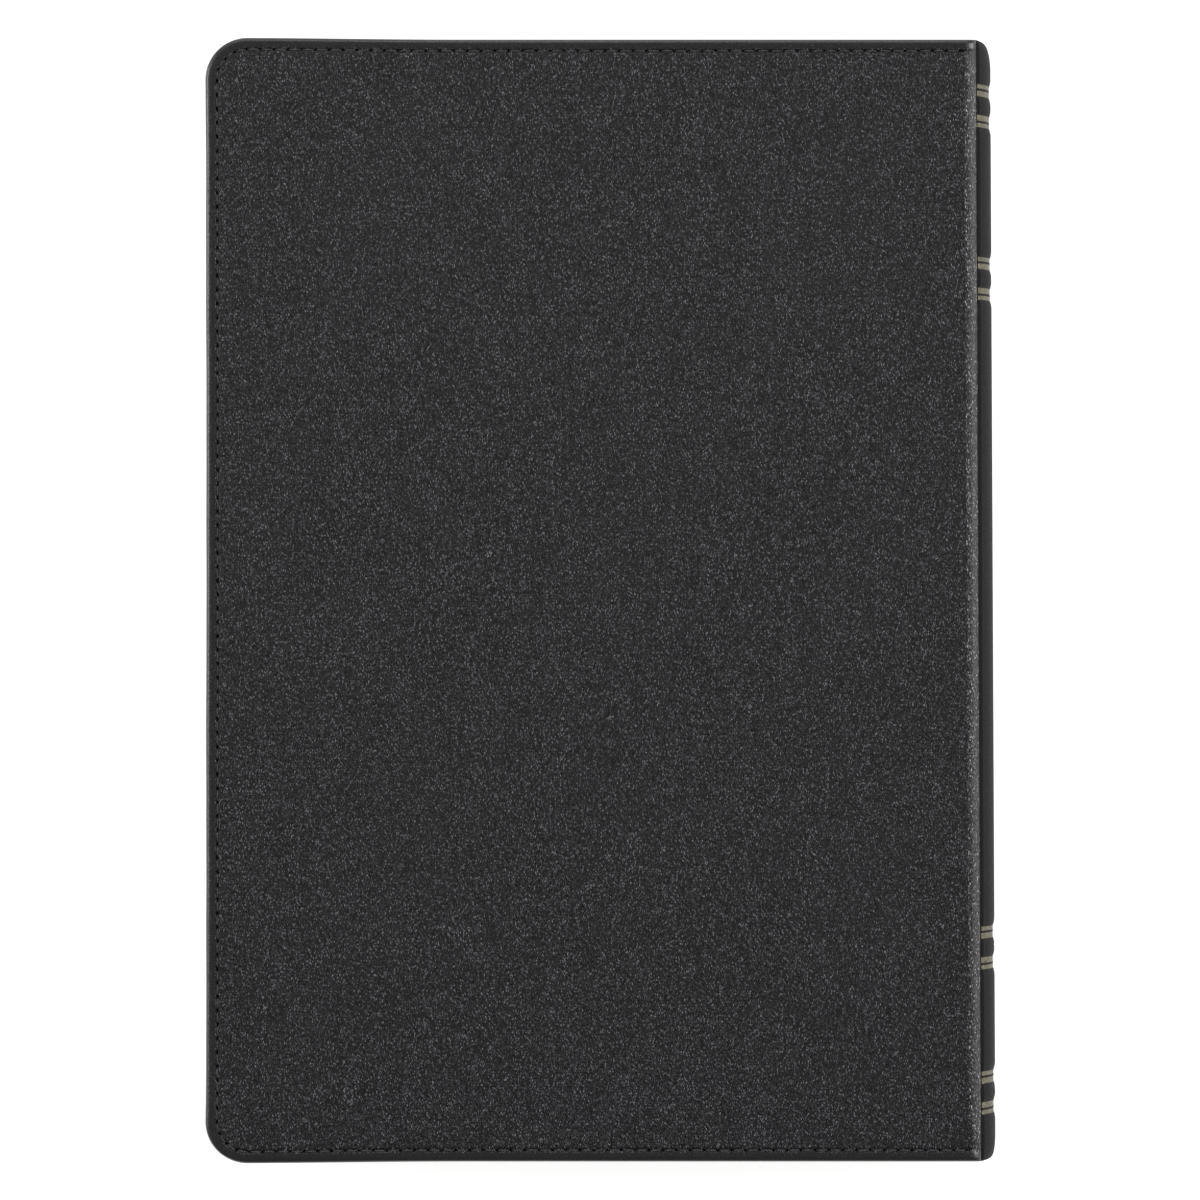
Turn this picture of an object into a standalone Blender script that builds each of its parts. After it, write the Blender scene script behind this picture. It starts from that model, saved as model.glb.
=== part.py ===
"""A soft-bound bible, closed and lying on its front cover.

The spine is towards +X, the head of the pages towards +Y and the back cover on top (+Z).
The origin is the centre of the footprint, on the surface that the book lies on. Metres.
"""
import math

import bmesh
import bpy

# Overall book
BOOK_WIDTH = 0.1566
BOOK_HEIGHT = 0.2220
BOOK_THICKNESS = 0.0270

# Covers: a turned-in leather tray with a thin board and a lining inside it
COVER_THICKNESS = 0.0025
COVER_CORNER_RADIUS = 0.0083
COVER_EDGE_ROUND = 0.0005
LEATHER_THICKNESS = 0.0007
BOARD_THICKNESS = 0.0007
LINING_THICKNESS = 0.0006
GAP = 0.00025
CORNER_STEPS = 6

# Stitching around head, fore-edge and tail of each cover
STITCH_INSET = 0.0023
STITCH_STOP = 0.0012
THREAD_RADIUS = 0.00018
THREAD_SIDES = 6
GROOVE_WIDTH = 0.0009
GROOVE_DEPTH = 0.00045

# Rounded spine
SPINE_BULGE = 0.0034
SPINE_SAGITTA = 0.0024
SPINE_LEATHER_THICKNESS = 0.0009
SPINE_LINING_THICKNESS = 0.0005
PANEL_TO_CREASE = 0.0008

# Text block, sewn in sections
SECTION_COUNT = 8
SECTION_LEVELS = 3
SQUARE = 0.0035
PAGE_WIDTH = 0.1475
PAGE_CORNER_RADIUS = 0.0060
BLOCK_GAP = 0.0003
FLYLEAF_THICKNESS = 0.0003
BAND_WIDTH = 0.0018
BAND_HEIGHT = 0.0020

# Hinge lines, both along Y
FAN_AXIS_OUTSIDE = 0.0005
FAN_AXIS_Z = 0.0152
FRONT_AXIS_OUTSIDE = 0.0008
FRONT_AXIS_Z = 0.00155

# Derived places
HALF_WIDTH = BOOK_WIDTH / 2
HALF_HEIGHT = BOOK_HEIGHT / 2
MIDDLE_Z = BOOK_THICKNESS / 2
CREASE_X = HALF_WIDTH - SPINE_BULGE
PANEL_END_X = CREASE_X - PANEL_TO_CREASE
BLOCK_BOTTOM = COVER_THICKNESS + BLOCK_GAP
BLOCK_TOP = BOOK_THICKNESS - BLOCK_BOTTOM
BLOCK_HALF_HEIGHT = HALF_HEIGHT - SQUARE
SECTIONS_BOTTOM = BLOCK_BOTTOM + FLYLEAF_THICKNESS + GAP
SECTION_PITCH = (BOOK_THICKNESS - 2 * SECTIONS_BOTTOM + GAP) / SECTION_COUNT
SPINE_HALF_CHORD = MIDDLE_Z - BLOCK_BOTTOM
SPINE_RADIUS = (SPINE_HALF_CHORD**2 + SPINE_SAGITTA**2) / (2 * SPINE_SAGITTA)
SPINE_CENTRE_X = HALF_WIDTH - SPINE_RADIUS
LINING_DEPTH = SPINE_LEATHER_THICKNESS + GAP
BLOCK_DEPTH = LINING_DEPTH + SPINE_LINING_THICKNESS + GAP

# Colour, roughness, metallic
FINISHES = {
    "cover_leather": ((0.030, 0.029, 0.031), 0.45, 0.0),
    "cover_thread": ((0.018, 0.017, 0.018), 0.60, 0.0),
    "cover_board": ((0.36, 0.34, 0.30), 0.90, 0.0),
    "cover_lining": ((0.045, 0.043, 0.045), 0.70, 0.0),
    "flyleaf": ((0.050, 0.048, 0.050), 0.75, 0.0),
    "pages": ((0.80, 0.76, 0.66), 0.85, 0.0),
    "spine_leather": ((0.028, 0.027, 0.029), 0.40, 0.0),
    "spine_lining": ((0.62, 0.60, 0.54), 0.95, 0.0),
    "band": ((0.55, 0.45, 0.22), 0.65, 0.0),
}


def clear_scene():
    for item in list(bpy.data.objects):
        bpy.data.objects.remove(item)


def finish(name):
    """The material of that name, made the first time it is asked for."""
    found = bpy.data.materials.get(name)
    if found:
        return found
    colour, roughness, metallic = FINISHES[name]
    made = bpy.data.materials.new(name)
    made.use_nodes = True
    shader = made.node_tree.nodes["Principled BSDF"]
    shader.inputs["Base Color"].default_value = (*colour, 1.0)
    shader.inputs["Roughness"].default_value = roughness
    shader.inputs["Metallic"].default_value = metallic
    return made


def axis_empty(name, x, z):
    """A guide on a hinge line that runs along Y."""
    guide = bpy.data.objects.new(name, None)
    guide.empty_display_size = 0.02
    guide.location = (x, 0.0, z)
    bpy.context.scene.collection.objects.link(guide)
    bpy.context.view_layer.update()
    return guide


def closed_stack(name, loops, material, parent=None):
    """One closed body through loops of equal point count, capped at its first and last loop."""
    shape = bmesh.new()
    rings = [[shape.verts.new(point) for point in loop] for loop in loops]
    for low, high in zip(rings, rings[1:]):
        count = len(low)
        for i in range(count):
            j = (i + 1) % count
            shape.faces.new((low[i], low[j], high[j], high[i]))
    shape.faces.new(rings[0])
    shape.faces.new(rings[-1])
    bmesh.ops.recalc_face_normals(shape, faces=shape.faces)
    mesh = bpy.data.meshes.new(name)
    shape.to_mesh(mesh)
    shape.free()
    mesh.set_sharp_from_angle(angle=math.radians(30))
    body = bpy.data.objects.new(name, mesh)
    body.data.materials.append(finish(material))
    bpy.context.scene.collection.objects.link(body)
    if parent:
        body.parent = parent
        body.matrix_parent_inverse = parent.matrix_world.inverted()
    return body


def arc(centre_x, centre_y, radius, start_deg, end_deg):
    """Points on a quarter round, both ends included."""
    points = []
    for step in range(CORNER_STEPS + 1):
        angle = math.radians(start_deg + (end_deg - start_deg) * step / CORNER_STEPS)
        points.append((centre_x + radius * math.cos(angle), centre_y + radius * math.sin(angle)))
    return points


def cover_outline(inset):
    """Cover outline, moved inwards: square at the spine side, round at the fore-edge."""
    radius = COVER_CORNER_RADIUS - inset
    centre_x = COVER_CORNER_RADIUS - HALF_WIDTH
    centre_y = HALF_HEIGHT - COVER_CORNER_RADIUS
    right = PANEL_END_X - inset
    top = HALF_HEIGHT - inset
    points = [(right, -top), (right, top)]
    points += arc(centre_x, centre_y, radius, 90, 180)
    points += arc(centre_x, -centre_y, radius, 180, 270)
    return points


def page_outline(spine_x):
    """Leaf outline with its back edge at spine_x and round corners at the fore-edge."""
    fore_x = spine_x - PAGE_WIDTH
    centre_x = fore_x + PAGE_CORNER_RADIUS
    centre_y = BLOCK_HALF_HEIGHT - PAGE_CORNER_RADIUS
    points = [(spine_x, -BLOCK_HALF_HEIGHT), (spine_x, BLOCK_HALF_HEIGHT)]
    points += arc(centre_x, centre_y, PAGE_CORNER_RADIUS, 90, 180)
    points += arc(centre_x, -centre_y, PAGE_CORNER_RADIUS, 180, 270)
    return points


def at_height(outline, z):
    return [(x, y, z) for x, y in outline]


def spine_x(z, depth=0.0):
    """X of the rounded spine at height z, a given depth below its outer surface."""
    radius = SPINE_RADIUS - depth
    return SPINE_CENTRE_X + math.sqrt(radius**2 - (z - MIDDLE_Z) ** 2)


def levels(low, high):
    """Heights that a curved piece is built through."""
    return [low + (high - low) * i / (SECTION_LEVELS - 1) for i in range(SECTION_LEVELS)]


def spine_bar(name, outer_depth, inner_depth, y_low, y_high, heights, material, parent):
    """A bar along the rounded spine, between two depths below its surface."""
    loops = []
    for z in heights:
        outer = spine_x(z, outer_depth)
        inner = spine_x(z, inner_depth)
        loops.append([(inner, y_low, z), (outer, y_low, z), (outer, y_high, z), (inner, y_high, z)])
    return closed_stack(name, loops, material, parent)


def stitch_path(end_x):
    """Line of the stitching: along the head, round the fore-edge and back along the tail."""
    line_y = HALF_HEIGHT - STITCH_INSET
    radius = COVER_CORNER_RADIUS - STITCH_INSET
    centre_x = COVER_CORNER_RADIUS - HALF_WIDTH
    centre_y = HALF_HEIGHT - COVER_CORNER_RADIUS
    points = [(end_x, line_y)]
    points += arc(centre_x, centre_y, radius, 90, 180)
    points += arc(centre_x, -centre_y, radius, 180, 270)
    points.append((end_x, -line_y))
    return points


def sweep(name, path, section, z, material, parent=None):
    """A section of (sideways, upwards) points carried along a flat path at height z."""
    loops = []
    for i, (x, y) in enumerate(path):
        before = path[max(i - 1, 0)]
        after = path[min(i + 1, len(path) - 1)]
        along = math.atan2(after[1] - before[1], after[0] - before[0])
        side = (math.sin(along), -math.cos(along))
        loops.append([(x + side[0] * across, y + side[1] * across, z + up) for across, up in section])
    return closed_stack(name, loops, material, parent)


def thread_section():
    points = []
    for i in range(THREAD_SIDES):
        angle = 2 * math.pi * i / THREAD_SIDES
        points.append((THREAD_RADIUS * math.cos(angle), THREAD_RADIUS * math.sin(angle)))
    return points


def cut_groove(leather, surface_z):
    """Sinks a narrow channel for the thread into the outer face of a cover's leather."""
    half = GROOVE_WIDTH / 2
    section = [(-half, -GROOVE_DEPTH), (half, -GROOVE_DEPTH), (half, GROOVE_DEPTH), (-half, GROOVE_DEPTH)]
    path = stitch_path(PANEL_END_X - STITCH_STOP / 2)
    cutter = sweep(leather.name + "_groove", path, section, surface_z, "cover_thread")
    cutter.hide_render = True
    cutter.display_type = "WIRE"
    cut = leather.modifiers.new("thread_groove", "BOOLEAN")
    cut.operation = "DIFFERENCE"
    cut.solver = "EXACT"
    cut.object = cutter


def make_cover(side, outer_z, inward, parent):
    """One cover. inward is +1 or -1: the way from its outer face towards the pages."""
    lip_z = outer_z + inward * COVER_THICKNESS
    inner_z = outer_z + inward * LEATHER_THICKNESS
    outline = cover_outline(0.0)
    inside = cover_outline(LEATHER_THICKNESS)
    tray = [
        at_height(inside, inner_z),
        at_height(inside, lip_z),
        at_height(outline, lip_z),
        at_height(outline, outer_z + inward * COVER_EDGE_ROUND),
        at_height(cover_outline(COVER_EDGE_ROUND), outer_z),
    ]
    leather = closed_stack(f"{side}_cover_leather", tray, "cover_leather", parent)
    cut_groove(leather, outer_z)
    thread_z = outer_z + inward * GROOVE_DEPTH / 2
    path = stitch_path(PANEL_END_X - STITCH_STOP)
    sweep(f"{side}_cover_thread", path, thread_section(), thread_z, "cover_thread", parent)
    filling = cover_outline(LEATHER_THICKNESS + GAP)
    board_z = inner_z + inward * GAP
    board = [at_height(filling, board_z), at_height(filling, board_z + inward * BOARD_THICKNESS)]
    closed_stack(f"{side}_cover_board", board, "cover_board", parent)
    lining_z = lip_z - inward * LINING_THICKNESS
    lining = [at_height(filling, lining_z), at_height(filling, lip_z)]
    closed_stack(f"{side}_cover_lining", lining, "cover_lining", parent)


def make_flyleaf(side, low, parent):
    """The blank coloured leaf next to a cover."""
    loops = [at_height(page_outline(spine_x(z, BLOCK_DEPTH)), z) for z in (low, low + FLYLEAF_THICKNESS)]
    closed_stack(f"{side}_flyleaf", loops, "flyleaf", parent)


def make_section(number, parent):
    """One sewn section of pages with its share of spine lining, spine leather and bands."""
    low = SECTIONS_BOTTOM + (number - 1) * SECTION_PITCH
    heights = levels(low, low + SECTION_PITCH - GAP)
    pages = [at_height(page_outline(spine_x(z, BLOCK_DEPTH)), z) for z in heights]
    closed_stack(f"section_{number:02d}", pages, "pages", parent)
    lining_back = LINING_DEPTH + SPINE_LINING_THICKNESS
    reach = BLOCK_HALF_HEIGHT
    spine_bar(
        f"spine_lining_{number:02d}", LINING_DEPTH, lining_back, -reach, reach, heights, "spine_lining", parent
    )
    spine_bar(
        f"spine_leather_{number:02d}", 0.0, SPINE_LEATHER_THICKNESS, -HALF_HEIGHT, HALF_HEIGHT, heights,
        "spine_leather", parent,
    )
    band_back = BLOCK_DEPTH + BAND_WIDTH
    band_low = BLOCK_HALF_HEIGHT + GAP
    band_high = band_low + BAND_HEIGHT
    spine_bar(f"headband_{number:02d}", BLOCK_DEPTH, band_back, band_low, band_high, heights, "band", parent)
    spine_bar(f"tailband_{number:02d}", BLOCK_DEPTH, band_back, -band_high, -band_low, heights, "band", parent)


def main():
    clear_scene()
    fan_axis = axis_empty("fan_axis", HALF_WIDTH + FAN_AXIS_OUTSIDE, FAN_AXIS_Z)
    front_axis = axis_empty("front_hinge_axis", CREASE_X + FRONT_AXIS_OUTSIDE, FRONT_AXIS_Z)
    make_cover("front", 0.0, 1, front_axis)
    make_cover("back", BOOK_THICKNESS, -1, fan_axis)
    make_flyleaf("front", BLOCK_BOTTOM, None)
    make_flyleaf("back", BLOCK_TOP - FLYLEAF_THICKNESS, fan_axis)
    make_section(1, None)
    for number in range(2, SECTION_COUNT + 1):
        make_section(number, fan_axis)


main()
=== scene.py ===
"""Looks of a soft-bound bible: grained leather, sewn edges, gold lines, gilt pages."""
import math

import bmesh
import bpy
import numpy as np
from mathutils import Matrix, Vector


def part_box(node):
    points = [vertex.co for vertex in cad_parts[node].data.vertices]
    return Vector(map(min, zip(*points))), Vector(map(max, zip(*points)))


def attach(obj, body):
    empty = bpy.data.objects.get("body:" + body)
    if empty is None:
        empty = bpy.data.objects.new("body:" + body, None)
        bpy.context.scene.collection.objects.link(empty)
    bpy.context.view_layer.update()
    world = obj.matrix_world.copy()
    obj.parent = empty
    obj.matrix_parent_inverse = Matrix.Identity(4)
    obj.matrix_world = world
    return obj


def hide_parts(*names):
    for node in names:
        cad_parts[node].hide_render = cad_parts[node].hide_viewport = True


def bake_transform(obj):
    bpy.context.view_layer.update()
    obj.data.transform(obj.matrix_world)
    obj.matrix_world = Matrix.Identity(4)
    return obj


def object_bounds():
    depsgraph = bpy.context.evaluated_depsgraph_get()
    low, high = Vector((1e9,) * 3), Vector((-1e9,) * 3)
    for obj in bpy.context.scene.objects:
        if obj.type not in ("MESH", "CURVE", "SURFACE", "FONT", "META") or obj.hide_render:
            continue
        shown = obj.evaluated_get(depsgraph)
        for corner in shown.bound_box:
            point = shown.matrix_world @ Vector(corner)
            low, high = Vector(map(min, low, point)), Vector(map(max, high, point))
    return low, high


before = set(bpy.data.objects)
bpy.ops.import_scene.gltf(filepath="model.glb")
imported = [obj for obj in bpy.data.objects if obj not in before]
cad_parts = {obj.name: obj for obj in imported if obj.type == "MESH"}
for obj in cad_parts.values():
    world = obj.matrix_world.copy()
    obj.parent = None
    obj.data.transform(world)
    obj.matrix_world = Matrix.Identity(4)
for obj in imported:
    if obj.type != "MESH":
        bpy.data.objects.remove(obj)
CAD_LOW, CAD_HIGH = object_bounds()

# ---------------------------------------------------------------- places, from the frame
HALF_WIDTH = CAD_HIGH.x
HALF_HEIGHT = CAD_HIGH.y
THICKNESS = CAD_HIGH.z
COVER_LOW, COVER_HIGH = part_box("back_cover_leather")
COVER_THICKNESS = COVER_HIGH.z - COVER_LOW.z
BLOCK_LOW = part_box("front_flyleaf")[0].z
BLOCK_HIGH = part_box("back_flyleaf")[1].z
BLOCK_HALF_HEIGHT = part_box("front_flyleaf")[1].y
MIDDLE_Z = THICKNESS / 2
SECTIONS = sorted(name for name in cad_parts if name.startswith("section_"))
PAGE_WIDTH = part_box("front_flyleaf")[1].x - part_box("front_flyleaf")[0].x

# ---------------------------------------------------------------- shape of the binding
CORNER_RADIUS = 0.0083
ARC_STEPS = 24
STITCH_PITCH = 0.00275
STEPS_PER_STITCH = 6
GRID_STEP = 3
STITCH_INSET = 0.00232
HOLE_DEPTH = 0.00075
HOLE_REACH = 0.00026
THREAD_RADIUS = 0.00016
ROLLED_WIDTH = 0.0018
CREASE_X = HALF_WIDTH - 0.0034
RIDGE_START = CREASE_X - 0.0030
RIDGE_WIDTH = 0.0024
CREASE_DEPTH = 0.0016
LEAN = 0.00052
SPINE_SHIFT = 0.00030

# (inset from the edge, depth below the outer face) of a cover's edge, from its turn-in to its panel
EDGE_PROFILE = (
    (0.00380, 0.00240), (0.00360, 0.00250), (0.00200, 0.00252), (0.00110, 0.00250), (0.00060, 0.00242),
    (0.00025, 0.00222), (0.00006, 0.00190), (0.0, 0.00155), (0.0, 0.00120), (0.00005, 0.00088),
    (0.00013, 0.00054), (0.00026, 0.00032), (0.00042, 0.00018), (0.00065, 0.00010), (0.00100, 0.00007),
    (0.00145, 0.00007), (0.00185, 0.00007), (0.00205, 0.00011), (0.00219, 0.00018), (0.00232, 0.00022),
    (0.00245, 0.00018), (0.00259, 0.00009), (0.00280, 0.00002), (0.00310, 0.0), (0.00370, 0.0),
    (0.00500, 0.0), (0.00660, 0.0), (CORNER_RADIUS, 0.0),
)
# (distance before the crease, depth below the outer face) of the shoulder along the spine side
RIDGE_PROFILE = (
    (0.0, CREASE_DEPTH), (0.00006, 0.00134), (0.00014, 0.00110), (0.00025, 0.00088), (0.00040, 0.00069),
    (0.00060, 0.00051), (0.00085, 0.00034), (0.00115, 0.00019), (0.00150, 0.00008), (0.00190, 0.00002),
    (0.00240, 0.0), (0.00300, 0.0),
)


def smooth(t):
    t = np.clip(t, 0.0, 1.0)
    return t * t * (3 - 2 * t)


def settled(points):
    """Small unevenness of a real binding: a leaning spine, flared corners and a wavy fore-edge."""
    x, y = points[:, 0], points[:, 1]
    spine_share = smooth((x - HALF_WIDTH * 0.3) / (HALF_WIDTH * 0.6))
    fore_share = smooth((-x - HALF_WIDTH * 0.9) / (HALF_WIDTH * 0.1))
    flare = smooth((-x - HALF_WIDTH * 0.35) / (HALF_WIDTH * 0.6))
    reach = np.abs(y) / HALF_HEIGHT
    wave = np.sin(y * 61 + 0.6) + 0.6 * np.sin(y * 143 + 2.1) + 0.35 * np.sin(y * 310)
    moved = points.copy()
    moved[:, 0] = x - spine_share * (SPINE_SHIFT + LEAN * y / HALF_HEIGHT)
    moved[:, 0] += fore_share * (0.00008 + 0.00003 * wave - 0.00028 * reach**6)
    moved[:, 1] = y * (1 + flare * reach**4 * 0.0032)
    return moved


def make_piece(name, points, faces, materials, face_slots=None, smooth_angle=40):
    """A mesh piece in the CAD's frame, with its faces turned outwards."""
    mesh = bpy.data.meshes.new(name)
    mesh.from_pydata(settled(np.asarray(points, float)).tolist(), [], faces)
    if face_slots is not None:
        mesh.polygons.foreach_set("material_index", face_slots)
    shape = bmesh.new()
    shape.from_mesh(mesh)
    bmesh.ops.recalc_face_normals(shape, faces=shape.faces)
    shape.to_mesh(mesh)
    shape.free()
    mesh.shade_smooth()
    mesh.set_sharp_from_angle(angle=math.radians(smooth_angle))
    for material in materials:
        mesh.materials.append(material)
    piece = bpy.data.objects.new(name, mesh)
    bpy.context.scene.collection.objects.link(piece)
    return piece


# ---------------------------------------------------------------- materials
def new_material(name, colour, roughness, metallic=0.0, specular=0.5):
    material = bpy.data.materials.new(name)
    material.use_nodes = True
    tree = material.node_tree
    shader = tree.nodes["Principled BSDF"]
    shader.inputs["Base Color"].default_value = (*colour, 1.0)
    shader.inputs["Roughness"].default_value = roughness
    shader.inputs["Metallic"].default_value = metallic
    shader.inputs["Specular IOR Level"].default_value = specular
    return material, tree, shader


def add_node(tree, kind, **settings):
    """A node with its properties and unlinked inputs set by name."""
    node = tree.nodes.new(kind)
    for key, value in settings.items():
        socket = key.replace("_", " ").title()
        if hasattr(node, key) and key not in ("scale", "distance", "strength", "location", "rotation"):
            setattr(node, key, value)
        elif key == "mapping_scale":
            node.inputs["Scale"].default_value = value
        else:
            node.inputs[socket].default_value = value
    return node


def object_coordinates(tree, stretch=(1.0, 1.0, 1.0)):
    source = add_node(tree, "ShaderNodeTexCoord")
    mapping = add_node(tree, "ShaderNodeMapping", mapping_scale=stretch)
    tree.links.new(source.outputs["Object"], mapping.inputs["Vector"])
    return mapping.outputs["Vector"]


def colour_ramp(tree, value, low, high, low_colour, high_colour):
    ramp = add_node(tree, "ShaderNodeValToRGB")
    ramp.color_ramp.elements[0].position = low
    ramp.color_ramp.elements[1].position = high
    ramp.color_ramp.elements[0].color = (*low_colour, 1.0)
    ramp.color_ramp.elements[1].color = (*high_colour, 1.0)
    tree.links.new(value, ramp.inputs["Fac"])
    return ramp.outputs["Color"]


def map_range(tree, value, low, high, to_low, to_high):
    node = add_node(tree, "ShaderNodeMapRange")
    node.inputs["From Min"].default_value = low
    node.inputs["From Max"].default_value = high
    node.inputs["To Min"].default_value = to_low
    node.inputs["To Max"].default_value = to_high
    tree.links.new(value, node.inputs["Value"])
    return node.outputs["Result"]


def math_node(tree, operation, first, second):
    node = add_node(tree, "ShaderNodeMath", operation=operation)
    for socket, value in zip(node.inputs, (first, second)):
        if isinstance(value, float):
            socket.default_value = value
        else:
            tree.links.new(value, socket)
    return node.outputs["Value"]


GROUND_TONE = 0.25


def leather_material(name, shades, grain, roughness, specular, speckle, cell=0.00034, evenness=0.75):
    """Fine-grained leather.

    shades runs from the painted shade in the grain's hollows over its ground to the painted glints on its
    grain tips, grain is the height of its relief and cell the width of one grain in metres, speckle is
    how strong those painted glints and that painted shade are, and evenness is how much of the glints the
    sparser patches keep.
    """
    material, tree, shader = new_material(name, shades[1], roughness, specular=specular)
    where = object_coordinates(tree, (1.65, 0.62, 1.0))
    warp = add_node(tree, "ShaderNodeTexNoise", scale=1100.0, detail=2.0)
    tree.links.new(where, warp.inputs["Vector"])
    bend = add_node(tree, "ShaderNodeVectorMath", operation="MULTIPLY_ADD")
    bend.inputs[1].default_value = (0.00018, 0.00018, 0.00018)
    tree.links.new(warp.outputs["Color"], bend.inputs[0])
    tree.links.new(where, bend.inputs[2])
    cells = add_node(tree, "ShaderNodeTexVoronoi", feature="F1", scale=1.0 / cell)
    tree.links.new(bend.outputs["Vector"], cells.inputs["Vector"])
    chance = add_node(tree, "ShaderNodeSeparateColor")
    tree.links.new(cells.outputs["Color"], chance.inputs["Color"])
    fine = add_node(tree, "ShaderNodeTexNoise", scale=1.25 / cell, detail=3.0)
    tree.links.new(object_coordinates(tree, (1.60, 0.60, 1.0)), fine.inputs["Vector"])
    patches = add_node(tree, "ShaderNodeTexNoise", scale=110.0, detail=4.0)
    tree.links.new(where, patches.inputs["Vector"])
    # Painted highlight: a random share of the grain tips, thinner in patches, gets a lighter base colour
    # for the lamps' glints on them.
    rich = map_range(tree, patches.outputs["Fac"], 0.38, 0.62, evenness, 1.0)
    tips = map_range(tree, cells.outputs["Distance"], 0.12, 0.58, 1.0, 0.0)
    share = math_node(tree, "POWER", chance.outputs["Red"], 2.6)
    lit = math_node(tree, "MULTIPLY", tips, share)
    lit = math_node(tree, "MULTIPLY", lit, rich)
    # Painted shade: a random share of the grain's hollows gets a darker base colour.
    pitted = map_range(tree, chance.outputs["Green"], 0.62, 0.80, 0.0, 1.0)
    pit_shade = math_node(tree, "MULTIPLY", tips, pitted)
    ground = map_range(tree, fine.outputs["Fac"], 0.36, 0.64, 0.06, 0.34)
    tone = math_node(tree, "ADD", ground, math_node(tree, "MULTIPLY", lit, speckle))
    tone = math_node(tree, "SUBTRACT", tone, math_node(tree, "MULTIPLY", pit_shade, speckle * 0.45))
    ramp = add_node(tree, "ShaderNodeValToRGB")
    ramp.color_ramp.elements.new(GROUND_TONE)
    for stop, position, shade in zip(ramp.color_ramp.elements, (0.0, GROUND_TONE, 1.0), shades):
        stop.position = position
        stop.color = (*shade, 1.0)
    tree.links.new(tone, ramp.inputs["Fac"])
    tree.links.new(ramp.outputs["Color"], shader.inputs["Base Color"])
    relief = math_node(tree, "ADD", tone, math_node(tree, "MULTIPLY", tips, 0.35))
    bump = add_node(tree, "ShaderNodeBump", distance=grain, strength=1.0)
    tree.links.new(relief, bump.inputs["Height"])
    tree.links.new(bump.outputs["Normal"], shader.inputs["Normal"])
    gloss = map_range(tree, fine.outputs["Fac"], 0.35, 0.65, roughness + 0.08, roughness - 0.08)
    tree.links.new(gloss, shader.inputs["Roughness"])
    return material


def gold_material(name, colour, roughness, wear):
    """Metal foil or gilding, slightly rubbed."""
    material, tree, shader = new_material(name, colour, roughness, metallic=1.0)
    where = object_coordinates(tree)
    mottle = add_node(tree, "ShaderNodeTexNoise", scale=1500.0, detail=4.0)
    tree.links.new(where, mottle.inputs["Vector"])
    worn = tuple(channel * wear for channel in colour)
    rubbed = colour_ramp(tree, mottle.outputs["Fac"], 0.35, 0.62, worn, colour)
    tree.links.new(rubbed, shader.inputs["Base Color"])
    gloss = map_range(tree, mottle.outputs["Fac"], 0.3, 0.7, roughness + 0.15, roughness - 0.05)
    tree.links.new(gloss, shader.inputs["Roughness"])
    bump = add_node(tree, "ShaderNodeBump", distance=0.00003, strength=0.6)
    tree.links.new(mottle.outputs["Fac"], bump.inputs["Height"])
    tree.links.new(bump.outputs["Normal"], shader.inputs["Normal"])
    return material


def paper_material(name, light, dark, fibre=0.00002):
    """Thin uncoated paper with a cloudy tone and fine fibres."""
    material, tree, shader = new_material(name, light, 0.85, specular=0.25)
    where = object_coordinates(tree)
    cloud = add_node(tree, "ShaderNodeTexNoise", scale=60.0, detail=5.0)
    fibres = add_node(tree, "ShaderNodeTexNoise", scale=2400.0, detail=3.0)
    tree.links.new(where, cloud.inputs["Vector"])
    tree.links.new(where, fibres.inputs["Vector"])
    clouded = math_node(tree, "MULTIPLY", cloud.outputs["Fac"], 0.7)
    mixed = math_node(tree, "ADD", clouded, fibres.outputs["Fac"])
    tree.links.new(colour_ramp(tree, mixed, 0.60, 1.10, dark, light), shader.inputs["Base Color"])
    bump = add_node(tree, "ShaderNodeBump", distance=fibre, strength=0.5)
    tree.links.new(fibres.outputs["Fac"], bump.inputs["Height"])
    tree.links.new(bump.outputs["Normal"], shader.inputs["Normal"])
    return material


def woven_material(name, light, dark, thread):
    """Plain woven cloth. thread is the width of one thread in metres."""
    material, tree, shader = new_material(name, light, 0.9, specular=0.2)
    where = object_coordinates(tree)
    heights = []
    for direction in ("X", "Y", "Z"):
        wave = add_node(tree, "ShaderNodeTexWave", bands_direction=direction, scale=0.314 / thread)
        wave.inputs["Distortion"].default_value = 0.6
        tree.links.new(where, wave.inputs["Vector"])
        heights.append(wave.outputs["Fac"])
    weave = math_node(tree, "MULTIPLY", math_node(tree, "ADD", heights[0], heights[2]), heights[1])
    tree.links.new(colour_ramp(tree, weave, 0.1, 0.9, dark, light), shader.inputs["Base Color"])
    bump = add_node(tree, "ShaderNodeBump", distance=thread * 0.5, strength=0.8)
    tree.links.new(weave, bump.inputs["Height"])
    tree.links.new(bump.outputs["Normal"], shader.inputs["Normal"])
    return material


def thread_material(name, colour, ply):
    """Twisted sewing thread: slanting plies across a fine fibre, with a painted sheen on the crest of
    each ply.
    """
    material, tree, shader = new_material(name, colour, 0.55, specular=0.35)
    where = object_coordinates(tree)
    plies = add_node(tree, "ShaderNodeTexWave", bands_direction="DIAGONAL", scale=0.314 / ply)
    tree.links.new(where, plies.inputs["Vector"])
    # Painted highlight: the crests of the plies get a lighter base colour, standing for sheen.
    ply_sheen_colour = tuple(channel * 2.2 for channel in colour)
    painted_ply_sheen = colour_ramp(tree, plies.outputs["Fac"], 0.2, 0.9, colour, ply_sheen_colour)
    tree.links.new(painted_ply_sheen, shader.inputs["Base Color"])
    bump = add_node(tree, "ShaderNodeBump", distance=ply * 0.4, strength=0.9)
    tree.links.new(plies.outputs["Fac"], bump.inputs["Height"])
    tree.links.new(bump.outputs["Normal"], shader.inputs["Normal"])
    return material


# Each leather's shades: the painted shade in the grain's hollows, its ground colour, and the painted
# glint colour of its grain tips.
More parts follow.
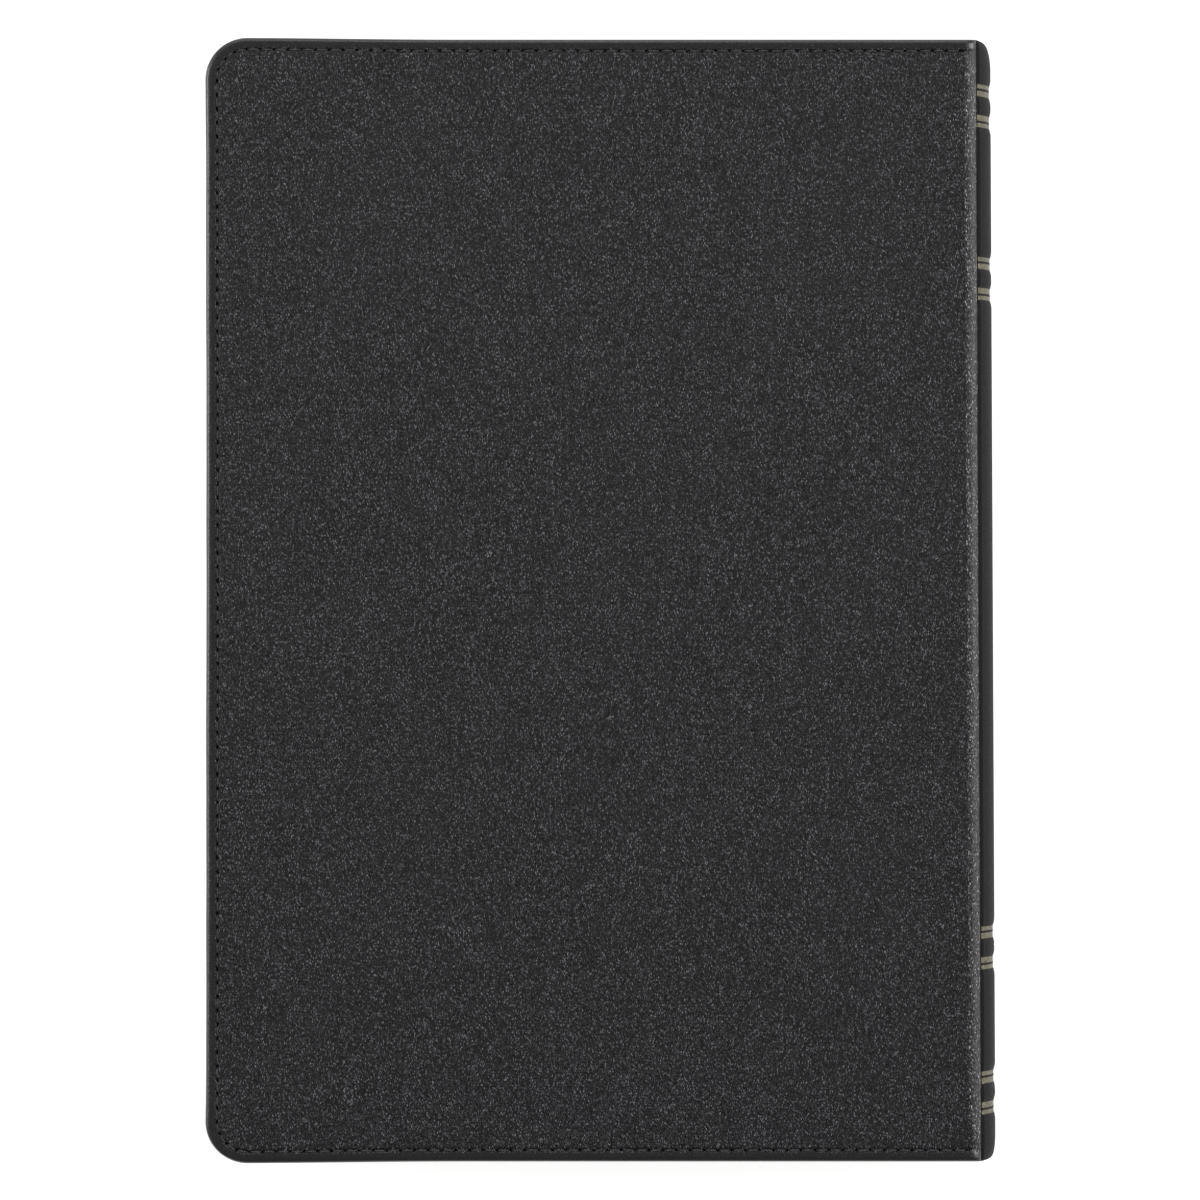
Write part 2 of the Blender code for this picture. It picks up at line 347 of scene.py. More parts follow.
GROUND = ((0.001, 0.0008, 0.001), (0.0066, 0.0060, 0.0071), (0.190, 0.180, 0.196))
LEATHER = leather_material("cover_leather", GROUND, 0.00012, 0.45, 0.16, 0.95)
# Shoulder along the spine: its very light tip colour and strong speckle are painted highlight, where the
# shoulder catches the side softbox.
RIDGE = leather_material(
    "ridge_leather", ((0.002, 0.002, 0.002), (0.0062, 0.0058, 0.0066), (0.440, 0.425, 0.445)),
    0.00013, 0.31, 0.30, 1.10, 0.00040, 0.70,
)
EDGE = leather_material(
    "edge_leather", ((0.006, 0.006, 0.006), (0.0115, 0.0108, 0.0117), (0.050, 0.048, 0.051)),
    0.00004, 0.30, 0.45, 0.25,
)
SPINE_LEATHER = leather_material(
    "spine_leather", ((0.007, 0.007, 0.007), (0.0094, 0.0088, 0.0096), (0.026, 0.025, 0.027)),
    0.00003, 0.50, 0.02, 0.15,
)
LINING = leather_material(
    "cover_lining", ((0.008, 0.008, 0.008), (0.0180, 0.0175, 0.0182), (0.060, 0.058, 0.061)),
    0.00008, 0.60, 0.25, 0.30,
)
# Painted shade: a near-black colour for the faces round the needle holes, standing for the shade in these
# dimples.
HOLE_SHADE, _, _ = new_material("needle_hole_shade", (0.0015, 0.0015, 0.0015), 0.9, specular=0.05)
COVER_MATERIALS = [LEATHER, HOLE_SHADE, EDGE, RIDGE]
PANEL_SLOT, HOLE_SHADE_SLOT, EDGE_SLOT, RIDGE_SLOT = range(4)
FOIL = gold_material("gold_foil", (0.142, 0.129, 0.078), 0.42, 0.48)
GILT = gold_material("gilt_edges", (0.52, 0.385, 0.165), 0.34, 0.80)
PAPER = paper_material("page_paper", (0.60, 0.575, 0.51), (0.555, 0.53, 0.465))
FLYLEAF = paper_material("flyleaf_paper", (0.032, 0.031, 0.033), (0.020, 0.0195, 0.021), 0.00003)
BOARD = paper_material("cover_board", (0.40, 0.38, 0.33), (0.24, 0.22, 0.19), 0.00008)
MULL = woven_material("spine_cloth", (0.62, 0.60, 0.52), (0.36, 0.34, 0.29), 0.0004)
THREAD = thread_material("sewing_thread", (0.0180, 0.0172, 0.0182), 0.00022)
BAND_GOLD = thread_material("band_gold_thread", (0.30, 0.22, 0.08), 0.00025)
BAND_BLACK = thread_material("band_black_thread", (0.010, 0.010, 0.011), 0.00025)


# ---------------------------------------------------------------- covers
def straight_steps(length, multiple):
    return max(multiple, round(length / (STITCH_PITCH / STEPS_PER_STITCH) / multiple) * multiple)


def edge_path():
    """Centres and outward directions along head, fore-edge and tail, from crease to crease."""
    corner_x = CORNER_RADIUS - HALF_WIDTH
    corner_y = HALF_HEIGHT - CORNER_RADIUS
    across = straight_steps(RIDGE_START - corner_x, STEPS_PER_STITCH)
    down = straight_steps(2 * corner_y, STEPS_PER_STITCH)
    ridge_x = [CREASE_X - before for before, _ in RIDGE_PROFILE]
    top_x = ridge_x + list(np.linspace(RIDGE_START, corner_x, across + 1)[1:])
    rows = [(x, corner_y, 0.0, 1.0) for x in top_x]
    for i in range(1, ARC_STEPS):
        angle = math.pi / 2 * (1 + i / ARC_STEPS)
        rows.append((corner_x, corner_y, math.cos(angle), math.sin(angle)))
    rows += [(corner_x, y, -1.0, 0.0) for y in np.linspace(corner_y, -corner_y, down + 1)]
    half = rows[: len(top_x) + ARC_STEPS - 1]
    rows += [(x, -y, ux, -uy) for x, y, ux, uy in reversed(half)]
    return np.array(rows), len(top_x), down


PATH, TOP_COUNT, LEFT_STEPS = edge_path()
PATH_COUNT = len(PATH)
RIDGE_STEPS = len(RIDGE_PROFILE) - 1


def ridge_depth(x):
    """How far the shoulder has dropped at x, towards the crease."""
    before = [distance for distance, _ in RIDGE_PROFILE]
    depth = [drop for _, drop in RIDGE_PROFILE]
    return np.interp(CREASE_X - x, before, depth)


def hole_share():
    """1 at the needle holes along the path, 0 between them."""
    index = np.arange(PATH_COUNT) - RIDGE_STEPS
    along = index % STEPS_PER_STITCH
    inside = (index >= 0) & (index < PATH_COUNT - 2 * RIDGE_STEPS)
    return np.where(inside & (along < 2), 1.0, 0.0)


def panel_wave(x, y):
    """Gentle unevenness of the panel, in metres."""
    wave = np.sin(x * 71 + 1.3) * np.sin(y * 53 + 0.4) + 0.6 * np.sin(x * 127 - y * 89 + 2.0)
    return 0.00004 * wave


def ridge_wave(x, y):
    """Unevenness of the shoulder, with the dent where the turned-in edge ends beneath it."""
    near = smooth((0.0030 - (CREASE_X - x)) / 0.0012)
    wave = np.sin(y * 790 + 0.5) + 0.8 * np.sin(y * 1270 + 1.9) + 0.7 * np.sin(y * 470 + 4.1)
    dent = np.exp(-(((HALF_HEIGHT - np.abs(y) - 0.0030) / 0.0005) ** 2))
    return near * (0.000016 * wave + 0.00013 * dent)


def edge_rings():
    """Rings of points (x, y, depth) round a cover's edge, and where each step of the last ring is."""
    centre, outward = PATH[:, :2], PATH[:, 2:]
    drop = ridge_depth(centre[:, 0])
    holes = hole_share()
    rings = []
    for inset, depth in EDGE_PROFILE[:-1]:
        flat = centre + outward * (CORNER_RADIUS - inset)
        near_line = max(0.0, 1 - abs(inset - STITCH_INSET) / HOLE_REACH)
        total = depth + holes * near_line * HOLE_DEPTH + drop * (1 - depth / COVER_THICKNESS)
        rings.append(np.column_stack([flat, total]))
    last = np.zeros(PATH_COUNT, int)
    inner = []
    start = len(rings) * PATH_COUNT
    for p in range(PATH_COUNT):
        if p and np.allclose(centre[p], centre[p - 1], atol=1e-9):
            last[p] = last[p - 1]
            continue
        last[p] = start + len(inner)
        inner.append((centre[p, 0], centre[p, 1], drop[p]))
    rings.append(np.array(inner))
    return rings, last


def panel_slot(x):
    """The panel's material at x: its shoulder along the spine side has its own."""
    return RIDGE_SLOT if x > CREASE_X - RIDGE_WIDTH else PANEL_SLOT


def edge_faces(last):
    """Faces and slots between the rings round a cover's edge."""
    holes = hole_share()
    faces, slots = [], []
    rings = [np.arange(PATH_COUNT) + k * PATH_COUNT for k in range(len(EDGE_PROFILE) - 1)] + [last]
    for (inset, _), outer, next_ring in zip(EDGE_PROFILE, rings, rings[1:]):
        in_line = abs(inset + 0.00007 - STITCH_INSET) < 0.00014
        for p in range(PATH_COUNT - 1):
            ids = [outer[p], outer[p + 1], next_ring[p + 1], next_ring[p]]
            faces.append(ids[:3] if ids[2] == ids[3] else ids)
            # Faces round the needle holes get the near-black painted shade.
            if in_line and holes[p] and holes[p + 1]:
                slots.append(HOLE_SHADE_SLOT)
            elif inset < ROLLED_WIDTH:
                slots.append(EDGE_SLOT)
            else:
                slots.append(panel_slot(PATH[p, 0]))
    return faces, slots


def panel_grid(last, grid_start):
    """Rows of points, faces and slots of the panel inside the last ring, sharing that ring's points."""
    kept = list(range(RIDGE_STEPS + 1)) + list(range(RIDGE_STEPS + GRID_STEP, TOP_COUNT, GRID_STEP))
    columns = len(kept) - 1
    left_start = TOP_COUNT + ARC_STEPS - 1
    row_count = LEFT_STEPS // GRID_STEP
    rows_y = PATH[left_start : left_start + LEFT_STEPS + 1 : GRID_STEP, 1]
    grid_x = PATH[kept[:-1], 0]
    rows = [np.column_stack([grid_x, np.full(columns, y), ridge_depth(grid_x)]) for y in rows_y[1:-1]]

    def grid_id(row, column):
        if row == 0:
            return last[kept[column]]
        if row == row_count:
            return last[PATH_COUNT - 1 - kept[column]]
        if column == columns:
            return last[left_start + GRID_STEP * row]
        return grid_start + (row - 1) * columns + column

    faces, slots = [], []
    for row in range(row_count):
        for column in range(columns):
            chain = [grid_id(row, column), grid_id(row, column + 1)]
            if row == 0:
                chain = list(last[kept[column] : kept[column + 1] + 1])
            if column + 1 == columns:
                side = left_start + GRID_STEP * row
                chain += list(last[side : side + GRID_STEP + 1])
            if row + 1 == row_count:
                low = PATH_COUNT - 1 - kept[column + 1]
                chain += list(last[low : PATH_COUNT - kept[column]])
            else:
                chain += [grid_id(row + 1, column + 1), grid_id(row + 1, column)]
            faces.append([v for i, v in enumerate(chain) if v != chain[i - 1]])
            slots.append(panel_slot(grid_x[column]))
    return rows, faces, slots


def top_unevenness(points):
    """How far each point of the outer face is pressed in by the panel's and the shoulder's waves."""
    inside = smooth((HALF_WIDTH + points[:, 0] - 0.004) / 0.02)
    inside *= smooth((HALF_HEIGHT - np.abs(points[:, 1]) - 0.004) / 0.02)
    uneven = panel_wave(points[:, 0], points[:, 1]) * inside + ridge_wave(points[:, 0], points[:, 1])
    return np.where(points[:, 2] < COVER_THICKNESS / 2, uneven, 0.0)


def cover_skin():
    """Points (x, y, depth), faces and slots of a cover's leather, with rolled edges and needle holes."""
    rings, last = edge_rings()
    faces, slots = edge_faces(last)
    rows, panel, panel_slots = panel_grid(last, sum(len(ring) for ring in rings))
    points = np.vstack(rings + rows)
    points[:, 2] += top_unevenness(points)
    return points, [[int(v) for v in face] for face in faces + panel], slots + panel_slots


def at_side(points, side):
    """Turns depths below a cover's outer face into heights."""
    placed = points.copy()
    if side == "back":
        placed[:, 2] = THICKNESS - points[:, 2]
    return placed


def stitch_points():
    """Every stitch of a cover as a bent capsule, as points (x, y, depth) and faces."""
    centre, outward = PATH[:, :2], PATH[:, 2:]
    line = centre + outward * (CORNER_RADIUS - STITCH_INSET)
    drop = ridge_depth(centre[:, 0])
    rings, sides = 9, 8
    sunk_depth, arch_height = 0.00062, 0.00050
    points, faces = [], []
    last_stitch = PATH_COUNT - RIDGE_STEPS - STEPS_PER_STITCH
    for begin in range(RIDGE_STEPS, last_stitch, STEPS_PER_STITCH):
        base = len(points)
        for r in range(rings):
            share = r / (rings - 1)
            place = begin + 0.9 + share * (STEPS_PER_STITCH - 0.8)
            low = int(place)
            rest = place - low
            spot = line[low] * (1 - rest) + line[low + 1] * rest
            out = outward[low] * (1 - rest) + outward[low + 1] * rest
            out = out / np.linalg.norm(out)
            arch = math.sin(math.pi * share) ** 0.55
            depth = sunk_depth - arch_height * arch + drop[low]
            radius = THREAD_RADIUS * (0.55 + 0.45 * math.sin(math.pi * share) ** 0.5)
            for s in range(sides):
                angle = 2 * math.pi * s / sides
                side_step = radius * math.cos(angle)
                points.append((spot[0] + out[0] * side_step, spot[1] + out[1] * side_step,
                               depth + radius * math.sin(angle)))
        for r in range(rings - 1):
            for s in range(sides):
                a = base + r * sides + s
                b = base + r * sides + (s + 1) % sides
                faces.append([a, b, b + sides, a + sides])
        faces.append([base + s for s in range(sides)])
        faces.append([base + (rings - 1) * sides + s for s in reversed(range(sides))])
    return np.array(points), faces


def rounded_rectangle(right, inset, radius, steps=12):
    """Outline with round corners on the fore-edge side and tight ones on the spine side."""
    left, top = inset - HALF_WIDTH, HALF_HEIGHT - inset
    tight = 0.0012
    corners = ((right - tight, -top + tight, tight, -90), (right - tight, top - tight, tight, 0),
               (left + radius, top - radius, radius, 90), (left + radius, -top + radius, radius, 180))
    outline = []
    for x, y, r, start in corners:
        for i in range(steps + 1):
            angle = math.radians(start + 90 * i / steps)
            outline.append((x + r * math.cos(angle), y + r * math.sin(angle)))
    return np.array(outline)


def lining_points():
    """Inner lining of a cover: a thin sheet with a soft edge, over the turned-in leather."""
    profile = ((0.0, 0.00215), (0.0, 0.00250), (0.00015, 0.00262), (0.0004, 0.00266))
    right, margin = CREASE_X - 0.0022, 0.0026
    loops = []
    for inward, depth in profile:
        flat = rounded_rectangle(right - inward, margin + inward, CORNER_RADIUS - margin - inward)
        loops.append(np.column_stack([flat, np.full(len(flat), depth)]))
    count = len(loops[0])
    faces = [list(range(count)), [len(profile) * count - 1 - i for i in range(count)]]
    for k in range(len(profile) - 1):
        for i in range(count):
            j = (i + 1) % count
            faces.append([k * count + i, k * count + j, (k + 1) * count + j, (k + 1) * count + i])
    return np.vstack(loops), faces


def build_covers():
    skin, skin_faces, skin_slots = cover_skin()
    thread, thread_faces = stitch_points()
    lining, lining_faces = lining_points()
    for side in ("front", "back"):
        body = f"{side}_cover"
        placed = at_side(skin, side)
        leather = make_piece(f"{side}_leather_skin", placed, skin_faces, COVER_MATERIALS, skin_slots)
        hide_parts(f"{side}_cover_leather")
        if side == "front":
            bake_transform(leather)
        else:
            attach(leather, body)
        stitches = make_piece(f"{side}_stitches", at_side(thread, side), thread_faces, [THREAD])
        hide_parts(f"{side}_cover_thread")
        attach(stitches, body)
        inner = make_piece(f"{side}_inner_lining", at_side(lining, side), lining_faces, [LINING])
        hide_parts(f"{side}_cover_lining")
        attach(inner, body)
        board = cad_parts[f"{side}_cover_board"]
        board.data.materials.clear()
        board.data.materials.append(BOARD)


# ---------------------------------------------------------------- spine
SPINE_STEPS = 44
SPINE_SAGITTA = 0.0024
SKIN_THICKNESS = 0.00095
TOOLING_DEPTH = 0.00014
FOIL_DEPTH = 0.00006
BAND_SINK = 0.00030
TOOLING_GROUPS = (0.0980, 0.0638, -0.0688, -0.0975)
# distances of the two lines of a pair from the middle of their group: the thick one, then the thin one
TOOLING_LINES = ((0.00184, 0.00297), (0.00341, 0.00424))
TOOLING_PAIR = 0.0030
# how much lower the head (1) and tail (-1) ends are at the middle of the spine, and how far pulled in
HEADCAP_DROP = {1: 0.0011, -1: 0.0006}
HEADCAP_PULL = {1: 0.00040, -1: 0.00022}


def spine_curve():
    """(x, z) of the spine's outer face, from the back crease round to the front crease."""
    half_chord = MIDDLE_Z - BLOCK_LOW
    radius = (half_chord**2 + SPINE_SAGITTA**2) / (2 * SPINE_SAGITTA)
    edge_angle = math.asin(half_chord / radius)
    arc = []
    for i in range(SPINE_STEPS + 1):
        angle = edge_angle * (1 - 2 * i / SPINE_STEPS)
        x = HALF_WIDTH - radius + radius * math.cos(angle)
        arc.append((x, MIDDLE_Z + radius * math.sin(angle)))
    top_z = THICKNESS - CREASE_DEPTH
    steps = ((0.0, 0.0), (0.00018, 0.00012), (0.00042, 0.00022), (0.00066, 0.00042), (0.00084, 0.00072))
    lead = [(CREASE_X + across, top_z - down) for across, down in steps]
    tail = [(x, THICKNESS - z) for x, z in reversed(lead)]
    return np.array(lead + arc + tail)


def curve_normals(curve):
    along = np.gradient(curve, axis=0)
    normal = np.column_stack([-along[:, 1], along[:, 0]])
    return normal / np.linalg.norm(normal, axis=1)[:, None]


CURVE = spine_curve()
NORMALS = curve_normals(CURVE)


def tooling_edges():
    """(low, high) in y of every gold line."""
    edges = []
    for middle in TOOLING_GROUPS:
        for near, far in TOOLING_LINES:
            edges.append((middle + near, middle + far))
            edges.append((middle - far, middle - near))
    return sorted(edges)


def band_sink(y):
    """How far the leather is pressed in around a pair of gold lines."""
    sunk = 0.0
    for middle in TOOLING_GROUPS:
        away = abs(abs(y - middle) - TOOLING_PAIR)
        sunk = max(sunk, BAND_SINK * float(smooth((0.0026 - away) / 0.0018)))
    return sunk


def spine_rows():
    """Rows (sign, place, depth) along the spine leather, over its plain stretch, head end and tail end.

    place is y where sign is 0, and the distance from that end where sign is 1 (head) or -1 (tail).
    """
    plain = np.linspace(-HALF_HEIGHT + 0.006, HALF_HEIGHT - 0.006, 61)
    edges = tooling_edges()
    rows = [(y, band_sink(y)) for y in plain if all(y < a - 0.0003 or y > b + 0.0003 for a, b in edges)]
    for low, high in edges:
        groove = ((low - 0.00008, 0.0), (low + 0.00003, TOOLING_DEPTH),
                  (high - 0.00003, TOOLING_DEPTH), (high + 0.00008, 0.0))
        rows += [(y, sunk + band_sink(y)) for y, sunk in groove]
    for middle in TOOLING_GROUPS:
        for sign in (1, -1):
            for step in (0.0009, 0.0013, 0.0049, 0.0054, 0.0060, 0.0067):
                rows.append((middle + sign * step, band_sink(middle + sign * step)))
    rows.sort()
    lip = ((0.0042, 0.0), (0.0028, 0.0), (0.0018, 0.00002), (0.0011, 0.00008), (0.0006, 0.00018),
           (0.00025, 0.00032), (0.00006, 0.00048), (0.0, 0.00062), (0.00010, 0.00080), (0.00040, 0.00092),
           (0.0012, SKIN_THICKNESS), (0.0040, SKIN_THICKNESS))
    head = [(+1, end, depth) for end, depth in lip]
    tail = [(-1, end, depth) for end, depth in reversed(lip)]
    return [(0, y, depth) for y, depth in rows], head, tail


def spine_points(rows):
    """Points of rows laid over the spine curve."""
    bulge = (CURVE[:, 0] - CREASE_X) / (HALF_WIDTH - CREASE_X)
    points = []
    for sign, place, depth in rows:
        offset = np.full(len(CURVE), depth)
        y = np.full(len(CURVE), place)
        if sign:
            round_off = 1 - np.sqrt(1 - np.clip(bulge, 0, 1) ** 2)
            y = sign * (HALF_HEIGHT - HEADCAP_DROP[sign] * round_off - place)
            offset = depth + HEADCAP_PULL[sign] * float(smooth((0.0042 - place) / 0.0042)) * bulge
        flat = CURVE - NORMALS * offset[:, None]
        points.append(np.column_stack([flat[:, 0], y, flat[:, 1]]))
    return points


def ring_faces(row_count, width, closed):
    faces = []
    last = row_count if closed else row_count - 1
    for r in range(last):
        a, b = r * width, (r + 1) % row_count * width
        for i in range(width - 1):
            faces.append([a + i, a + i + 1, b + i + 1, b + i])
    return faces


def blend_with_back(piece):
    """Bakes a piece's placement into its points."""
    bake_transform(piece)


def build_spine():
    plain, head, tail = spine_rows()
    inner = [(0, y, SKIN_THICKNESS) for y in np.linspace(HALF_HEIGHT - 0.008, -HALF_HEIGHT + 0.008, 12)]
    rows = plain + head + inner + tail
    points = spine_points(rows)
    width = len(CURVE)
    faces = ring_faces(len(rows), width, True)
    faces.append([r * width for r in range(len(rows))])
    faces.append([r * width + width - 1 for r in reversed(range(len(rows)))])
    skin = make_piece("spine_skin", np.vstack(points), faces, [SPINE_LEATHER])
    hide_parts(*[name.replace("section", "spine_leather") for name in SECTIONS])
    blend_with_back(skin)
    build_foil()
    build_spine_cloth()


def build_foil():
    """The gold lines: thin strips of foil lying in the tooled grooves."""
    first, last = 2, len(CURVE) - 2
    width = last - first
    points, faces = [], []
    for low, high in tooling_edges():
        base = len(points) * width
        section = ((low, FOIL_DEPTH), (high, FOIL_DEPTH), (high, TOOLING_DEPTH), (low, TOOLING_DEPTH))
        for y, depth in section:
            flat = (CURVE - NORMALS * (depth + band_sink(y)))[first:last]
            points.append(np.column_stack([flat[:, 0], np.full(width, y), flat[:, 1]]))
        for a, b in ((0, 1), (1, 2), (2, 3), (3, 0)):
            for i in range(width - 1):
                faces.append([base + a * width + i, base + a * width + i + 1,
                              base + b * width + i + 1, base + b * width + i])
        faces.append([base + k * width for k in range(4)])
        faces.append([base + k * width + width - 1 for k in reversed(range(4))])
    foil = make_piece("spine_gold_lines", np.vstack(points), faces, [FOIL])
    blend_with_back(foil)


def shell_over_block(name, outer, inner, reach, material):
    """A thin curved layer between two depths below the spine's outer face."""
    inside = slice(6, len(CURVE) - 6)
    width = len(CURVE[inside])
    points = []
    for y, depth in ((-reach, outer), (reach, outer), (reach, inner), (-reach, inner)):
        flat = (CURVE - NORMALS * depth)[inside]
        points.append(np.column_stack([flat[:, 0], np.full(width, y), flat[:, 1]]))
    faces = ring_faces(4, width, True)
    faces.append([k * width for k in range(4)])
    faces.append([k * width + width - 1 for k in reversed(range(4))])
    layer = make_piece(name, np.vstack(points), faces, [material])
    blend_with_back(layer)
    return layer


def build_spine_cloth():
    cloth = shell_over_block("spine_cloth", 0.00115, 0.00160, BLOCK_HALF_HEIGHT - 0.0003, MULL)
    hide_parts(*[name.replace("section", "spine_lining") for name in SECTIONS])


# ---------------------------------------------------------------- text block
LEAVES_PER_SECTION = 26
PAGE_CORNER = 0.0060
LEAF_FILL = 0.86
SECTION_OVERLAP = 0.00008
PAGE_BOW = 1.8


def block_back_x(z):
    """X of the back of the pages at height z."""
    depth = HALF_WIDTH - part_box("section_04")[1].x
    half_chord = MIDDLE_Z - BLOCK_LOW
    radius = (half_chord**2 + SPINE_SAGITTA**2) / (2 * SPINE_SAGITTA)
    inner = radius - depth
    return HALF_WIDTH - radius + math.sqrt(inner**2 - (z - MIDDLE_Z) ** 2)


def leaf_stations():
    """(distance from the back, half height) along a leaf, with a round fore-edge corner."""
    curved = PAGE_WIDTH * 0.5 / PAGE_BOW
    straight = [curved * (i / 16) ** 1.2 for i in range(17)]
    straight += list(np.linspace(curved, PAGE_WIDTH - PAGE_CORNER, 6)[1:])
    stations = [(distance, BLOCK_HALF_HEIGHT) for distance in straight]
    for i in range(1, 7):
        angle = math.pi / 2 * i / 6
        distance = PAGE_WIDTH - PAGE_CORNER + PAGE_CORNER * math.sin(angle)
        stations.append((distance, BLOCK_HALF_HEIGHT - PAGE_CORNER + PAGE_CORNER * math.cos(angle)))
    return np.array(stations)


STATIONS = leaf_stations()


def leaf_mesh(back_x, low, high, base):
    """One thin leaf as points, faces and the material slot of each face: 0 paper, 1 edge."""
    x = back_x - STATIONS[:, 0]
    count = len(x)
    half = STATIONS[:, 1]
    edges = [(z, sign * half) for z in (high, low) for sign in (1, -1)]
    rows = [np.column_stack([x, y, np.full(count, z)]) for z, y in edges]
    faces, slots = [], []
    top_head, top_tail, low_head, low_tail = (base + k * count for k in range(4))
    for i in range(count - 1):
        faces.append([top_head + i, top_head + i + 1, top_tail + i + 1, top_tail + i])
        faces.append([low_head + i, low_tail + i, low_tail + i + 1, low_head + i + 1])
        faces.append([top_head + i, low_head + i, low_head + i + 1, top_head + i + 1])
        faces.append([top_tail + i, top_tail + i + 1, low_tail + i + 1, low_tail + i])
        slots += [0, 0, 1, 1]
    end = count - 1
    faces.append([top_head + end, low_head + end, low_tail + end, top_tail + end])
    faces.append([top_head, top_tail, low_tail, low_head])
    slots += [1, 0]
    return np.vstack(rows), faces, slots


def build_pages():
    """All leaves, section by section, in a lower and an upper half."""
    halves = {"lower": SECTIONS[: len(SECTIONS) // 2], "upper": SECTIONS[len(SECTIONS) // 2 :]}
    uneven = np.random.default_rng(7)
    for half, names in halves.items():
        points, faces, slots = [], [], []
        base = 0
        for name in names:
            low, high = (corner.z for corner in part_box(name))
            low -= SECTION_OVERLAP
            high += SECTION_OVERLAP
            pitch = (high - low) / LEAVES_PER_SECTION
            for leaf in range(LEAVES_PER_SECTION):
                z = low + leaf * pitch
                shift = uneven.uniform(-0.00003, 0.00003)
                top = z + pitch * LEAF_FILL
                rows, leaf_faces, leaf_slots = leaf_mesh(block_back_x(z) + shift, z, top, base)
                points.append(rows)
                faces += leaf_faces
                slots += leaf_slots
                base += len(rows)
        pages = make_piece(f"pages_{half}_half", np.vstack(points), faces, [PAPER, GILT], slots)
        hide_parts(*names)
        blend_with_back(pages)


def build_flyleaves():
    """The dark leaves next to the covers."""
    for side in ("front", "back"):
        low, high = (corner.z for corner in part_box(f"{side}_flyleaf"))
        rows, faces, slots = leaf_mesh(block_back_x(low), low, high, 0)
        leaf = make_piece(f"{side}_endpaper", rows, faces, [FLYLEAF, GILT], slots)
        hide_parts(f"{side}_flyleaf")
        if side == "front":
            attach(leaf, "first_section")
        else:
            blend_with_back(leaf)


def build_endpaper_folds():
    """Strips of endpaper across the two joints, from the flyleaf to the cover's lining."""
    reach = BLOCK_HALF_HEIGHT - 0.0006
    inner_x = CREASE_X - 0.0060
    fold_x = CREASE_X - 0.0011
    gap_low, gap_high = COVER_THICKNESS + 0.00012, BLOCK_LOW - 0.00004
    turn = (gap_high - gap_low) / 2
    middle = (gap_low + gap_high) / 2
    profile = [(inner_x, gap_high), (CREASE_X - 0.0030, gap_high)]
    for i in range(9):
        angle = math.pi / 2 - math.pi * i / 8
        profile.append((fold_x + 0.0006 * math.cos(angle), middle + turn * math.sin(angle)))
    profile += [(CREASE_X - 0.0030, gap_low), (inner_x, gap_low)]
    rows = 9
    for side in ("front", "back"):
        placed = [(x, z if side == "front" else THICKNESS - z) for x, z in profile]
        points = [(x, y, z) for y in np.linspace(-reach, reach, rows) for x, z in placed]
        faces = ring_faces(rows, len(profile), False)
        fold = make_piece(f"{side}_endpaper_fold", points, faces, [FLYLEAF])
        if side == "front":
            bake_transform(fold)
        else:
            blend_with_back(fold)


def build_bands():
    """Head and tail bands: a core wound with gold and black thread, along the back of the pages."""
    along, around = 172, 10
    low, high = BLOCK_LOW + 0.0004, BLOCK_HIGH - 0.0004
    radius, inset = 0.00085, 0.0009
    wraps, wraps_per_colour = 86, 3
    for name, sign in (("headband", 1), ("tailband", -1)):
        points, faces, slots = [], [], []
        for i in range(along + 1):
            z = low + (high - low) * i / along
            swell = radius * (1 + 0.10 * abs(math.sin(math.pi * wraps * i / along)))
            for k in range(around):
                angle = 2 * math.pi * k / around
                x = block_back_x(z) - inset + swell * math.cos(angle)
                y = sign * (BLOCK_HALF_HEIGHT + inset + swell * 1.05 * math.sin(angle))
                points.append((x, y, z))
        for i in range(along):
            colour = int(i * wraps / along) // wraps_per_colour % 2
            for k in range(around):
                a, b = i * around + k, i * around + (k + 1) % around
                faces.append([a, b, b + around, a + around])
                slots.append(colour)
        faces.append(list(range(around)))
        faces.append([along * around + k for k in reversed(range(around))])
        slots += [0, 0]
        band = make_piece(name + "_wound", points, faces, [BAND_GOLD, BAND_BLACK], slots, 60)
        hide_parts(*[section.replace("section", name) for section in SECTIONS])
        blend_with_back(band)


# ---------------------------------------------------------------- studio
CAMERA_HEIGHT = 1.650
FRAME_WIDTH = 0.23724
FLOOR_Z = -0.0004


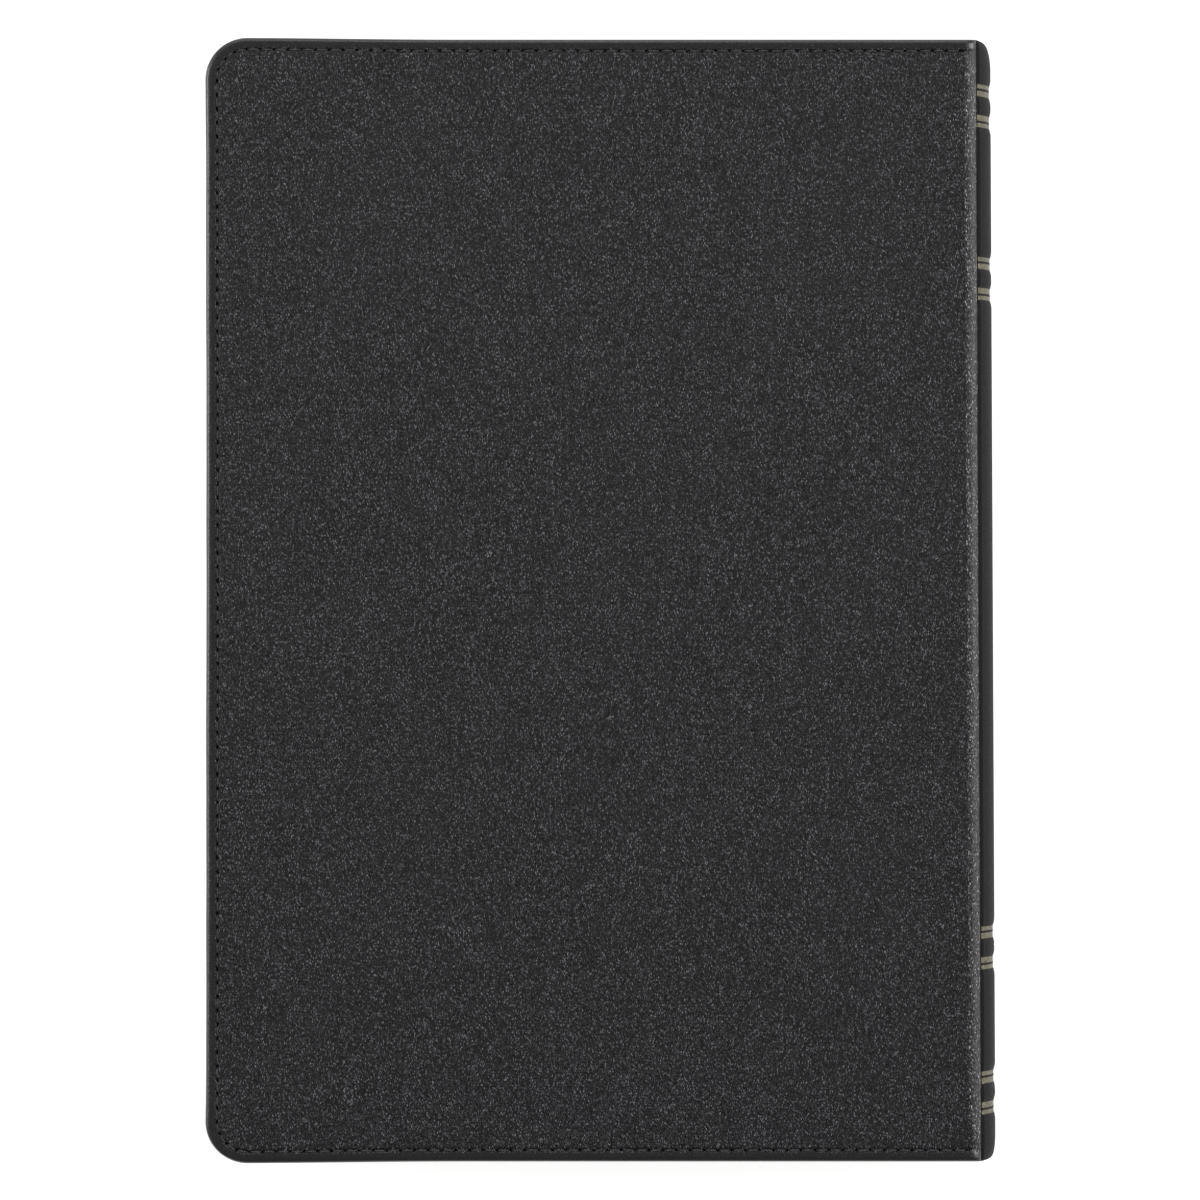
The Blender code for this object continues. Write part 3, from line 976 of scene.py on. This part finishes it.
def build_camera():
    data = bpy.data.cameras.new("camera")
    data.sensor_width = 36.0
    data.lens = data.sensor_width * (CAMERA_HEIGHT - THICKNESS) / FRAME_WIDTH
    data.clip_end = 20.0
    camera = bpy.data.objects.new("camera", data)
    camera.location = (-0.00030, 0.0001, CAMERA_HEIGHT)
    bpy.context.scene.collection.objects.link(camera)
    bpy.context.scene.camera = camera


def build_floor():
    mesh = bpy.data.meshes.new("floor")
    size = 12.0
    corners = [(x * size, y * size, FLOOR_Z) for x, y in ((-1, -1), (1, -1), (1, 1), (-1, 1))]
    mesh.from_pydata(corners, [], [(0, 1, 2, 3)])
    material, _, shader = new_material("floor", (0.35, 0.35, 0.35), 0.9, specular=0.1)
    shader.inputs["Emission Color"].default_value = (1.0, 1.0, 1.0, 1.0)
    shader.inputs["Emission Strength"].default_value = 0.85
    mesh.materials.append(material)
    floor = bpy.data.objects.new("floor", mesh)
    bpy.context.scene.collection.objects.link(floor)


def soft_light(name, place, target, size, watts):
    data = bpy.data.lights.new(name, "AREA")
    data.shape = "RECTANGLE"
    data.size, data.size_y = size
    data.energy = watts
    light = bpy.data.objects.new(name, data)
    light.location = place
    light.rotation_euler = (Vector(target) - Vector(place)).to_track_quat("-Z", "Y").to_euler()
    bpy.context.scene.collection.objects.link(light)


def build_studio():
    world = bpy.data.worlds.new("studio")
    world.use_nodes = True
    tree = world.node_tree
    direction = add_node(tree, "ShaderNodeTexCoord")
    split = add_node(tree, "ShaderNodeSeparateXYZ")
    tree.links.new(direction.outputs["Generated"], split.inputs["Vector"])
    sky = colour_ramp(tree, split.outputs["Z"], 0.14, 0.34, (1.0, 1.0, 1.0), (0.15, 0.15, 0.15))
    tree.links.new(sky, tree.nodes["Background"].inputs["Color"])
    bpy.context.scene.world = world
    bpy.context.scene.view_settings.view_transform = "Standard"
    soft_light("left_softbox", (-1.25, 0.25, 0.75), (0, 0, 0), (0.7, 1.1), 22)
    soft_light("right_softbox", (1.25, 0.15, 0.75), (0, 0, 0), (0.7, 1.1), 22)
    soft_light("head_softbox", (0.0, 1.4, 1.2), (0, 0, 0), (1.2, 0.7), 14)


build_camera()
build_covers()
build_spine()
build_pages()
build_flyleaves()
build_endpaper_folds()
build_bands()
build_floor()
build_studio()
